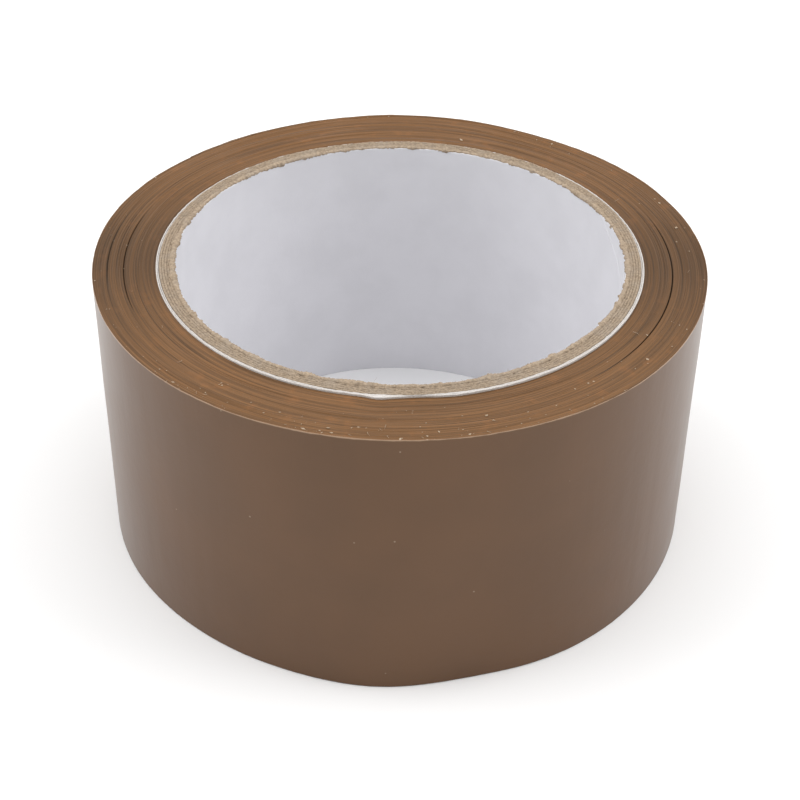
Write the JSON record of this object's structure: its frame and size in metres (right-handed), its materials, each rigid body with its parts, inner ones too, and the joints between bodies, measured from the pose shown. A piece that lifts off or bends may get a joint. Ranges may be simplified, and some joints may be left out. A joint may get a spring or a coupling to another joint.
{
  "type": "packing tape roll",
  "caption": "Roll of brown packing tape wound on a spiral-wound paper core, with the tape's free end on a peel hinge.",
  "frame": {"origin": "on the roll's axis, in the plane of the core's lower end face, on which the roll stands", "axes": "+Z along the roll's axis, upwards; -Y towards the side seen first; the tape's free end is at the back, on the +Y side"},
  "size_m": [0.1036, 0.1036, 0.0504],
  "materials": {
    "white_liner_paper": "matte",
    "grey_core_board": "rough, fibrous cut edge",
    "white_cover_paper": "matte",
    "brown_film_winding": "satin, fine lap lines on the side faces",
    "brown_film": "gloss"
  },
  "bodies": {
    "roll": {"core_liner_ply": "white_liner_paper", "core_board_ply_1": "grey_core_board", "core_board_ply_2": "grey_core_board", "core_board_ply_3": "grey_core_board", "core_board_ply_4": "grey_core_board", "core_board_ply_5": "grey_core_board", "core_cover_ply_1": "white_cover_paper", "core_cover_ply_2": "white_cover_paper", "tape_winding": "brown_film_winding", "tape_outer_lap": "brown_film"},
    "free_end": {"tape_free_end": "brown_film"}
  },
  "joints": [
    {"name": "peel", "type": "hinge", "parent": "roll", "child": "free_end", "pos_m": [-0.00451, 0.0516, 0.0252], "axis": [0, 0, -1], "range_deg": [0, 120]}
  ]
}
